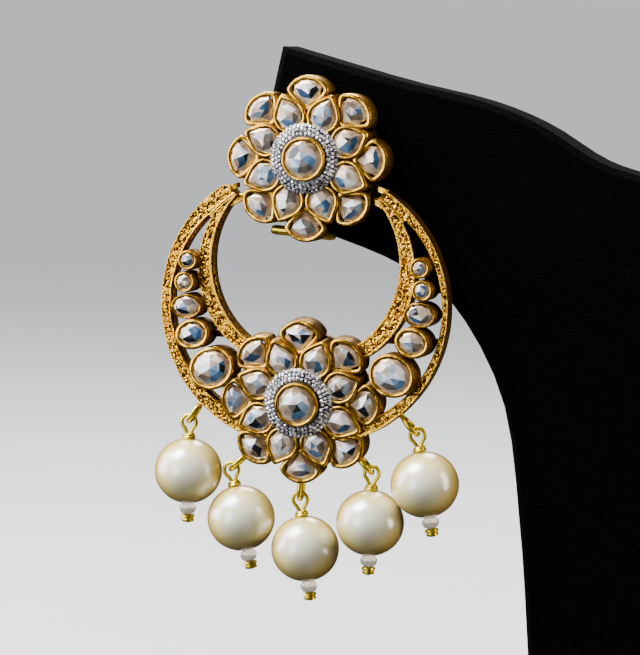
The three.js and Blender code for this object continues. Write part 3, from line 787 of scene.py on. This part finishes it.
def paved_ring(prefix, place, body):
    batch = new_batch()
    section = [
        # radius, height, darkness: painted shade under and between the tiny stones, bright at the rim
        (2.96, 1.3, 0.9), (4.7, 1.3, 0.9), (4.75, 3.6, 0.6), (4.72, 3.9, 0.1), (4.64, 4.05, 0.7),
        (4.4, 4.26, 0.95), (4.1, 4.42, 0.95), (3.7, 4.6, 0.95), (3.3, 4.72, 0.95), (2.96, 4.72, 0.9),
    ]
    rings = [[place(radius * c, radius * s, height) for c, s in circle(72)] for radius, height, _ in section]
    loft(batch, rings, [patina_and_shade for _, _, patina_and_shade in section], 0, round_trip=True)
    for row, (row_radius, height, slope) in enumerate(PAVE_ROWS):
        count = int(2 * math.pi * row_radius / (2.2 * GEM))
        for i in range(count):
            angle = 2 * math.pi * (i + 0.5 * (row % 2) + dice.uniform(-0.12, 0.12)) / count
            radius = row_radius + dice.uniform(-0.05, 0.05)
            u = math.cos(angle)
            v = math.sin(angle)
            size = GEM * dice.uniform(0.85, 1.1)
            lean_x = slope * u + dice.uniform(-0.25, 0.25)
            lean_y = slope * v + dice.uniform(-0.25, 0.25)
            tone = dice.choice(PAVE_PAINTED_SPARKLE)
            add_cone_gem(batch, place, radius * u, radius * v, height, lean_x, lean_y, size, tone, 1)
            angle += math.pi / count
            x = (radius + 0.26) * math.cos(angle)
            y = (radius + 0.26) * math.sin(angle)
            add_cone_gem(batch, place, x, y, height + 0.02, lean_x, lean_y, 0.09, tone, 0)
    node = f"{prefix}_pave_ring"
    piece = build(f"{prefix}_paved_ring", batch, [white_metal, foil], body, (node,), flat=True)
    return len(piece.data.polygons)


for prefix, place, body in FLOWERS:
    print(prefix, "paved ring faces:", paved_ring(prefix, place, body))

# %% [markdown]
# ## Crescent bands
# The crescent is two flat bands that part below each tip and meet again behind the lower flower. The
# bands are cast with a stippled skin between plain edges: bright worn flats with small dark pits
# between them, a quarter to half a millimetre across. Displacing a flat plate with a modifier would
# also dent the edges and side walls, so the bands are swept here instead: at every angle round the
# crescent a section runs up one wall, across the front and down the other, and only the middle of
# the front carries the relief. Two sizes of smooth noise are added, 0.42 and 0.19 mm, leaning a
# little so that the pits line up like tool strokes, and cut off at the top, which leaves the flats.

# %% Band edges
OUTER_LEFT = {"x": -1.75, "y": -19.3, "wide": 18.1, "tall": 18.55}
OUTER_RIGHT = {"x": 1.25, "y": -19.45, "wide": 18.05, "tall": 18.2}
SLOT_OUTER = {"x": 2.6, "y": -19.4, "wide": 15.85, "tall": 15.85}
SLOT_INNER = {"x": 1.8, "y": -14.6, "wide": 13.0, "tall": 13.0}
WINDOW = {"x": -0.15, "y": -13.7, "wide": 12.75, "tall": 12.75}
SLOT_TOP = -7.9
TIP_SHOULDER = (11.6, -3.75)
TIP_CORNER = (10.45, -3.75)
HUB = (0.0, -17.0)
PLATE_BACK = 0.8
PLATE_FRONT = 3.55


def reach(arc, angle, mirror=1):
    """Distance from the hub to an ellipse, looking out at this angle."""
    dx = (HUB[0] - mirror * arc["x"]) / arc["wide"]
    dy = (HUB[1] - arc["y"]) / arc["tall"]
    c = math.cos(angle) / arc["wide"]
    s = math.sin(angle) / arc["tall"]
    a = c * c + s * s
    b = dx * c + dy * s
    return (-b + math.sqrt(b * b - a * (dx * dx + dy * dy - 1))) / a


def reach_line(start, end, angle):
    """Distance from the hub to the straight line through two points."""
    across = (end[1] - start[1], start[0] - end[0])
    toward = across[0] * abs(math.cos(angle)) + across[1] * math.sin(angle)
    return (across[0] * (start[0] - HUB[0]) + across[1] * (start[1] - HUB[1])) / toward


def band_edges(angle):
    """Reach of the four edges, from the outside in. The slot closes at the tips and at the flower."""
    side = 1 if math.cos(angle) > 0 else -1
    outside = reach(OUTER_RIGHT if side > 0 else OUTER_LEFT, angle)
    inside = reach(WINDOW, angle)
    slot_out = reach(SLOT_OUTER, angle, side)
    slot_in = reach(SLOT_INNER, angle, side)
    middle = (slot_out + slot_in) / 2
    if math.sin(angle) > 0.5:
        outside = min(outside, reach_line(TIP_SHOULDER, TIP_CORNER, angle))
    at_flower = abs(math.cos(angle)) * slot_out < 9.3 and math.sin(angle) < 0
    at_tip = HUB[1] + math.sin(angle) * middle > SLOT_TOP
    if at_tip or at_flower:
        return outside, middle, middle, inside
    return outside, slot_out, slot_in, inside


TIP_ANGLE = math.radians(51.2)
print("tip at", round(math.degrees(TIP_ANGLE), 1), "degrees from the hub")

# %% Sweep the bands
WALL_RIBS = [
    # height, step back from the edge, how dark (patina and painted shade in the grooves and at the foot): an arris, a
    # groove, a rib, a groove, a foot
    (3.49, 0.05, 0.0), (3.3, 0.0, 0.0), (2.95, 0.03, 0.2), (2.8, 0.2, 0.8), (2.2, 0.2, 0.8),
    (2.05, 0.03, 0.2), (1.5, 0.0, 0.1), (1.1, 0.03, 0.4), (0.95, 0.15, 0.9),
]


def relief(point):
    """1 on the worn flats of the skin and 0 in the pits between them."""
    lean = Vector((point.x + 0.35 * point.z, 0, 0.75 * point.z))
    coarse = noise.noise(lean / (0.42 * MM))
    fine = noise.noise(lean / (0.19 * MM) + Vector((7, 0, 0)))
    worn = noise.noise(point / (2.2 * MM))
    return max(0.0, min(1.0, 0.85 + 2.4 * (0.5 * coarse + 0.6 * fine + 0.2 * worn)))


def sweep_band(batch, which, steps, across):
    rings = []
    patina_and_shade_values = []
    for k in range(steps + 1):
        angle = math.pi - TIP_ANGLE + (math.pi + 2 * TIP_ANGLE) * k / steps
        edges = band_edges(angle)
        far, near = edges[which], edges[which + 1]
        c = math.cos(angle)
        s = math.sin(angle)

        def at(radius, z):
            return face(HUB[0] + radius * c, HUB[1] + radius * s, z)

        plain = 0.18  # smooth strip along the outer edge
        rim = 0.36 if which == 2 else 0.2  # and along the inner edge
        wave = 0.05 * wobble(at(far, 0), 2.4)
        # The back of the band and the foot of its outer wall are darkened, growing brighter up to the front edge:
        # painted shade. Across the front the dark marks the patina in the dips of the skin.
        ring = [at(near, PLATE_BACK), at(far - 0.05, PLATE_BACK), at(far + wave, PLATE_BACK + 0.3)]
        patina_and_shade = [0.8, 0.8, 0.55]
        ring += [at(far + 0.6 * wave, 2.0), at(far + wave, PLATE_FRONT - 0.25), at(far - 0.05, PLATE_FRONT - 0.06)]
        patina_and_shade += [0.35, 0.1, 0.0]
        for i in range(across + 1):
            f = i / across
            radius = far - plain + (near + rim - far + plain) * f
            point = at(radius, 0)
            height = relief(point)
            edge = min(1.0, 8 * min(f, 1 - f))
            swell = 0.05 * wobble(point, 0.9, 3.0)
            ring.append(at(radius, PLATE_FRONT - 0.05 + (swell - (1 - height) * 0.2) * edge))
            patina_and_shade.append((0.12 + 0.75 * (1.0 - height)) * edge)
        ring += [at(near + rim - 0.06, PLATE_FRONT), at(near + 0.12, PLATE_FRONT)]
        patina_and_shade += [0.0, 0.0]
        for z, step_in, dark in WALL_RIBS:
            ring.append(at(near + step_in, z))
            patina_and_shade.append(dark)
        rings.append(ring)
        patina_and_shade_values.append([0.3] * len(patina_and_shade) if k in (0, steps) else patina_and_shade)
    loft(batch, rings, patina_and_shade_values, 0, True, True)


metal = new_batch()
sweep_band(metal, 0, 1000, 30)
sweep_band(metal, 2, 800, 26)
print("band faces:", len(metal["faces"]))

# %% [markdown]
# ## Arm cups, flower, rings and pivots
# Down each arm five cups grow from small rounds to a large oval, soldered across the slot. Behind
# them short struts bridge the slot. The lower flower, the five cast rings for the drops, the pivot
# wires and the slanted bars at the tips belong to the same soldered piece, so they join its batch.
# The bars stop just short of the stud's petals, or they would catch on them as the crescent swings.

# %% Cups on the arms
ARM_CUPS = [
    # x, y, long, wide, turn in degrees, wall, rise above the band, facets
    (15.75, -13.75, 1.8, 1.8, 0, 0.45, 1.7, 8),
    (16.15, -16.65, 1.95, 1.95, 0, 0.45, 1.7, 8),
    (15.85, -19.85, 3.5, 2.6, 5, 0.4, 1.5, 8),
    (14.95, -23.5, 3.5, 2.8, 14, 0.65, 1.7, 8),
    (12.25, -27.9, 5.1, 4.5, 25, 0.6, 1.6, 12),
]


def add_strut(batch, y, side):
    c_out = SLOT_OUTER["wide"] ** 2 - (y - SLOT_OUTER["y"]) ** 2
    c_in = SLOT_INNER["wide"] ** 2 - (y - SLOT_INNER["y"]) ** 2
    far = side * (SLOT_OUTER["x"] + math.sqrt(c_out) + 0.5)
    near = side * (SLOT_INNER["x"] + math.sqrt(c_in) - 0.5)
    rings = []
    for x in (near, far):
        rings.append([face(x, y + dy, z) for dy, z in ((-0.45, 1.4), (0.45, 1.4), (0.45, 2.2), (-0.45, 2.2))])
    # Painted shade: the struts lie back in the slot and are darkened all over.
    loft(batch, rings, [0.8, 0.8], 0, True, True)


small_cuts = new_batch()
for side in (-1, 1):
    for x, y, long, wide, turn, wall, rise, facets in ARM_CUPS:
        outline = turned(oval(long + 2 * wall, wide + 2 * wall), math.radians(-side * turn), side * x, y)
        rim = PLATE_FRONT + rise
        seed = x + side
        add_bezel(metal, outline, face, PLATE_BACK + 0.3, rim, wall, rim - 1.5, 1, seed)
        if long > 5:
            large = new_batch()
            add_stone(large, outline, face, wall - 0.04, rim - 0.18, rim + 0.35, facets, wide / 2.6, dice)
            arm = "left" if side < 0 else "right"
            build(f"arm_cut_{arm}", large, STONE_FINISHES, "crescent", (f"arm_stone_{arm}",), flat=True)
        else:
            add_stone(small_cuts, outline, face, wall - 0.04, rim - 0.15, rim + 0.2, facets, wide / 2.6, dice)
            add_strut(metal, y, side)
build("arm_small_cuts", small_cuts, STONE_FINISHES, "crescent", (), flat=True)
print("cups on the arms:", 2 * len(ARM_CUPS))

# %% Wires and rings


def add_wire(batch, path, radius, finish, sides=12, closed=False, caps=True):
    """Sweeps a round wire along points, keeping its section square to the path."""
    rings = []
    count = len(path)
    up = Vector((0.123, 0.951, 0.283))  # leans off every axis, so no wire runs along it
    for i in range(count):
        before = path[i - 1] if (closed or i > 0) else path[i]
        after = path[(i + 1) % count] if (closed or i < count - 1) else path[i]
        along = (after - before).normalized()
        across = along.cross(up).normalized()
        up = across.cross(along).normalized()
        size = radius[i] if isinstance(radius, list) else radius
        rings.append([path[i] + (across * c + up * s) * size * MM for c, s in circle(sides)])
    loft(batch, rings, [0.12] * count, finish, caps and not closed, caps and not closed, closed)


DROPS = [
    # name, ring top x, ring top y, slant and lean in degrees
    ("left_outer", -14.7, -33.2, -33, 0),
    ("left_inner", -8.3, -39.7, -46, 13),
    ("middle", -0.4, -42.4, -4, 7),
    ("right_inner", 7.4, -39.1, 42, -1),
    ("right_outer", 13.4, -33.8, 43, 10),
]
RING_WIRE = 0.36
RING_DEPTH = 2.0


def add_cast_ring(batch, x, y, slant):
    steps = 28
    turn = math.radians(slant)
    path = []
    for i in range(steps):
        angle = 2 * math.pi * i / steps
        down = -1.3 + 1.3 * math.cos(angle)
        out = 0.82 * math.sin(angle)
        path.append(face(x - down * math.sin(turn), y + down * math.cos(turn), RING_DEPTH + out))
    add_wire(batch, path, RING_WIRE, 2, closed=True)
    root = face(0.94 * x, 0.94 * y - 1.17, RING_DEPTH)  # a short way in, towards the crescent's middle
    add_wire(batch, [face(x, y, RING_DEPTH), root], RING_WIRE, 2)


TIP_BARS = [
    # from x, y to x, y, thickness, lowest and highest
    (10.9, -3.85, 9.5, -3.35, 0.7, 2.2, 3.15),
    (11.0, -6.1, 8.95, -5.0, 0.7, 1.85, 2.95),
]


def add_bar(batch, row, side):
    """A flat bar at a tip, slanting up towards the flower."""
    from_x, from_y, to_x, to_y, thick, low, high = row
    rings = []
    for share in (0.0, 0.2, 0.9, 1.0):
        x = side * (from_x + (to_x - from_x) * share)
        y = from_y + (to_y - from_y) * share
        trim = 0.06 if share == 1.0 else 0.0
        corners = ((-trim, low + trim), (-trim, high - trim), (trim - thick, high - trim), (trim - thick, low + trim))
        rings.append([face(x, y + dy, z) for dy, z in corners])
    loft(batch, rings, [0.2, 0.0, 0.0, 0.0], 0, True, True)


for _, x, y, slant, _ in DROPS:
    add_cast_ring(metal, x, y, slant)
for side in (-1, 1):
    add_wire(metal, [face(side * 7.5, -5.2, 1.55), face(side * 10.4, -5.2, 1.55)], 0.3, 2)
    for row in TIP_BARS:
        add_bar(metal, row, side)
add_flower_metal(metal, on_crescent_flower, 40.0)
crescent = build("crescent_gold", metal, GOLD_FINISHES, "crescent", ("crescent_frame",))
print("crescent faces:", len(crescent.data.polygons))

# %% [markdown]
# ## Stud
# The upper flower is the same casting with an ear post behind and the bar of its clip below. The
# crescent's two pivot wires run into the sides of its lower petals.

# %% Stud metal
stud = new_batch()
add_flower_metal(stud, on_stud, 3.0)
add_wire(stud, [face(0, 0, 0.9), face(0, 0, -5), face(0, 0, -10.7), face(0, 0, -10.95)], [0.45, 0.45, 0.45, 0.3], 2)
bar_ends = [(-5.5, -9.5), (-5.35, -9.52), (-4.9, -9.55), (-1.0, -9.83), (2.8, -10.1), (3.25, -10.13), (3.42, -10.14)]
add_wire(stud, [face(x, y, 1.0) for x, y in bar_ends], [0.2, 0.5, 0.65, 0.65, 0.65, 0.5, 0.2], 2)
stud_gold = build("stud_gold", stud, GOLD_FINISHES, "stand", ("stud_setting",))
print("stud faces:", len(stud_gold.data.polygons))

# %% [markdown]
# ## Pearl drops
# Each drop is a head pin: a gold head and a small glass bead below the pearl, the pin through it, and
# above it a wrapped neck under a round eye, which is linked through the cast ring. The pearl's middle
# is read from its solid and the pin follows its lean. The pearl is a lathe of its own outline, a
# sphere pinched a little at the drill holes.

# %% Pearls and pins
PEARL_RADIUS = 4.5
EYE_ABOVE = 6.515
FRONT = Vector((0, -1, 0))


def drop_axes(name, lean):
    low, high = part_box(f"pearl_{name}")
    middle = (low + high) / 2
    turn = math.radians(lean)
    up = Vector((-math.sin(turn), 0, math.cos(turn)))
    side = Vector((math.cos(turn), 0, math.sin(turn)))
    return middle, up, side


def add_lathe(batch, middle, up, side, profile, finish, patina_and_shade=0.0, steps=48):
    rings = [
        [middle + (up * height + (side * c + FRONT * s) * radius) * MM for c, s in circle(steps)]
        for radius, height in profile
    ]
    loft(batch, rings, [patina_and_shade] * len(rings), finish, True, True)


def make_pearl(name, lean):
    middle, up, side = drop_axes(name, lean)
    batch = new_batch()
    profile = []
    rows = 40
    for i in range(rows + 1):
        angle = math.pi * (0.03 + 0.94 * i / rows)
        pinch = 1 - 0.02 * math.exp(-((math.sin(angle) / 0.16) ** 2))
        profile.append((PEARL_RADIUS * math.sin(angle), -PEARL_RADIUS * 0.97 * pinch * math.cos(angle)))
    add_lathe(batch, middle, up, side, profile, 0, steps=64)
    build(f"pearl_round_{name}", batch, [pearl_coat], "crescent", (f"pearl_{name}",))


def make_pin(name, lean):
    middle, up, side = drop_axes(name, lean)
    batch = new_batch()
    eye = middle + up * EYE_ABOVE * MM
    steps = 24
    neck = middle + up * 4.75 * MM
    open_at = math.radians(52)
    loop = [neck - side * 0.12 * MM]
    for i in range(steps + 1):
        angle = math.pi + open_at - (math.pi + 2 * open_at) * i / steps
        loop.append(eye + (side * math.cos(angle) + up * math.sin(angle)) * 0.98 * MM)
    loop.append(neck + side * 0.12 * MM)
    add_wire(batch, loop, 0.26, 0)
    for turn_index, wrap in enumerate((0.72, 0.6)):
        coil = [
            middle + (up * (4.52 + 0.3 * turn_index + 0.04 * c) + (side * c + FRONT * s) * wrap) * MM
            for c, s in circle(20)
        ]
        add_wire(batch, coil, 0.22, 0, sides=8, closed=True)
    add_lathe(batch, middle, up, side, [(0.5, 4.35), (0.5, 4.9)], 0, 0.4, 12)
    bead = [(0.4, -4.3), (0.85, -4.4), (1.1, -4.75), (1.12, -5.15), (0.92, -5.6), (0.4, -5.85)]
    add_lathe(batch, middle, up, side, bead, 1, 0.0, 24)
    head = [(0.4, -5.8), (0.85, -5.9), (0.95, -6.15), (0.7, -6.35), (0.82, -6.5), (0.8, -6.75), (0.3, -6.92)]
    add_lathe(batch, middle, up, side, head, 0, 0.1, 24)
    build(f"pin_{name}", batch, [wire_gold, bead_clear], "crescent", (f"drop_pin_{name}",))


for name, _, _, _, lean in DROPS:
    make_pearl(name, lean)
    make_pin(name, lean)
print("drops:", len(DROPS), "pearls of", 2 * PEARL_RADIUS, "mm")

# %% [markdown]
# ## Display board
# The board keeps the shape of its solid, which is right already, and takes the velvet.

# %% Velvet on the board
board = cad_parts["display_stand"]
board.data.materials.clear()
board.data.materials.append(velvet)
print("board covered in", velvet.name)

# %% [markdown]
# ## Studio
# The earring stands on a sheet of pale paper that curves up on every side, so it has the same plain
# ground from wherever it is seen. The paper has a faint glow of its own, as a lit paper sweep has,
# and it is hidden from the gold's reflections: polished metal shows what it faces, and a white floor
# would fill in the browns between the highlights. For the same reason the room is dark and the light
# comes from sheets: a large key above on the left, a lower one in front that the flat faces mirror,
# one above behind for the tops of the pearls, and one at each side for their edges.

# %% Floor, lights and room


def make_floor():
    steps = 96
    profile = [(0.02, 0.0), (0.6, 0.0), (1.2, 0.0)]
    for i in range(1, 13):
        angle = math.pi / 2 * i / 12
        profile.append((1.2 + 0.8 * math.sin(angle), 0.8 - 0.8 * math.cos(angle)))
    profile.append((2.0, 2.6))
    rings = []
    for radius, height in profile:
        ring = []
        for k in range(steps):
            angle = 2 * math.pi * k / steps
            ring.append(Vector((radius * math.cos(angle), radius * math.sin(angle), height)))
        rings.append(ring)
    batch = new_batch()
    loft(batch, rings, [0.0] * len(rings), 0, cap_first=True)
    mesh = bpy.data.meshes.new("studio_floor")
    mesh.from_pydata([tuple(p) for p in batch["points"]], [], batch["faces"])
    for polygon in mesh.polygons:
        polygon.use_smooth = True
    floor = bpy.data.objects.new("studio_floor", mesh)
    bpy.context.scene.collection.objects.link(floor)
    material, tree = start_material("pale_studio_paper")
    where = add(tree, "ShaderNodeTexCoord").outputs["Object"]
    mottle = add(tree, "ShaderNodeTexNoise", {"Vector": where, "Scale": 40.0, "Detail": 3.0}).outputs["Fac"]
    colour = ramp(tree, mottle, [(0.3, "#a9abae"), (0.7, "#adafb2")])
    shader = add(
        tree,
        "ShaderNodeBsdfPrincipled",
        {
            "Base Color": colour,
            "Roughness": 0.9,
            "Emission Color": linear("#d3d5d9"),
            "Emission Strength": 0.8,
        },
    )
    end_material(tree, shader)
    mesh.materials.append(material)
    floor.visible_diffuse = False
    floor.visible_glossy = False


def soft_light(name, place, target, size, power, colour):
    data = bpy.data.lights.new(name, "AREA")
    data.shape = "RECTANGLE"
    data.size, data.size_y = size
    data.energy = power
    data.color = linear(colour)[:3]
    light = bpy.data.objects.new(name, data)
    light.location = place
    light.rotation_euler = (Vector(target) - Vector(place)).to_track_quat("-Z", "Y").to_euler()
    light.visible_camera = False
    bpy.context.scene.collection.objects.link(light)


earring_middle = face(0, -22, 2)
make_floor()
soft_light("key_softbox", (-0.32, -0.2, 0.6), earring_middle, (0.34, 0.34), 17.0, "#fdfbf6")
soft_light("front_sheet", (-0.46, -0.76, 0.16), earring_middle, (0.35, 0.5), 4.6, "#f4f6ff")
soft_light("top_sheet", (-0.12, 0.34, 0.5), earring_middle, (0.3, 0.3), 5.0, "#fffdf4")
soft_light("left_sheet", (-0.45, -0.05, 0.2), earring_middle, (0.3, 0.4), 4.4, "#e8f0ff")
soft_light("right_kicker", (0.42, 0.03, 0.16), earring_middle, (0.2, 0.4), 3.8, "#ffeecb")
world = bpy.data.worlds.new("studio_room")
bpy.context.scene.world = world
world.use_nodes = True
world.node_tree.nodes["Background"].inputs["Color"].default_value = linear("#c8ccd4")
world.node_tree.nodes["Background"].inputs["Strength"].default_value = 0.08

# %% [markdown]
# ## Camera
# The camera stands a little to the right and above, 0.46 m away, with a long lens, so the five
# pearls stay nearly round and the crescent keeps its drawn width. It is rolled by one degree.

# %% Camera
AZIMUTH = math.radians(15.3065)
ELEVATION = math.radians(4.67)
DISTANCE = 0.46159
ROLL = math.radians(1.045)
FRAME_WIDTH = 640
SCALE = 7.6  # picture width per millimetre at the earring

look = face(1.712, -22.198, 2.0)
back = Vector(
    (
        math.sin(AZIMUTH) * math.cos(ELEVATION),
        -math.cos(AZIMUTH) * math.cos(ELEVATION),
        math.sin(ELEVATION),
    )
)
camera_data = bpy.data.cameras.new("camera")
camera_data.sensor_fit = "HORIZONTAL"
camera_data.sensor_width = 36.0
camera_data.lens = 36.0 * SCALE * DISTANCE / MM / FRAME_WIDTH
camera_data.clip_start = 0.01
camera_data.clip_end = 20.0
camera = bpy.data.objects.new("camera", camera_data)
aim = (-back).to_track_quat("-Z", "Y").to_matrix().to_4x4()
camera.matrix_world = Matrix.Translation(look + back * DISTANCE) @ aim @ Matrix.Rotation(ROLL, 4, "Z")
bpy.context.scene.collection.objects.link(camera)
bpy.context.scene.camera = camera
print("lens", round(camera_data.lens, 1), "mm at", round(DISTANCE, 3), "m")
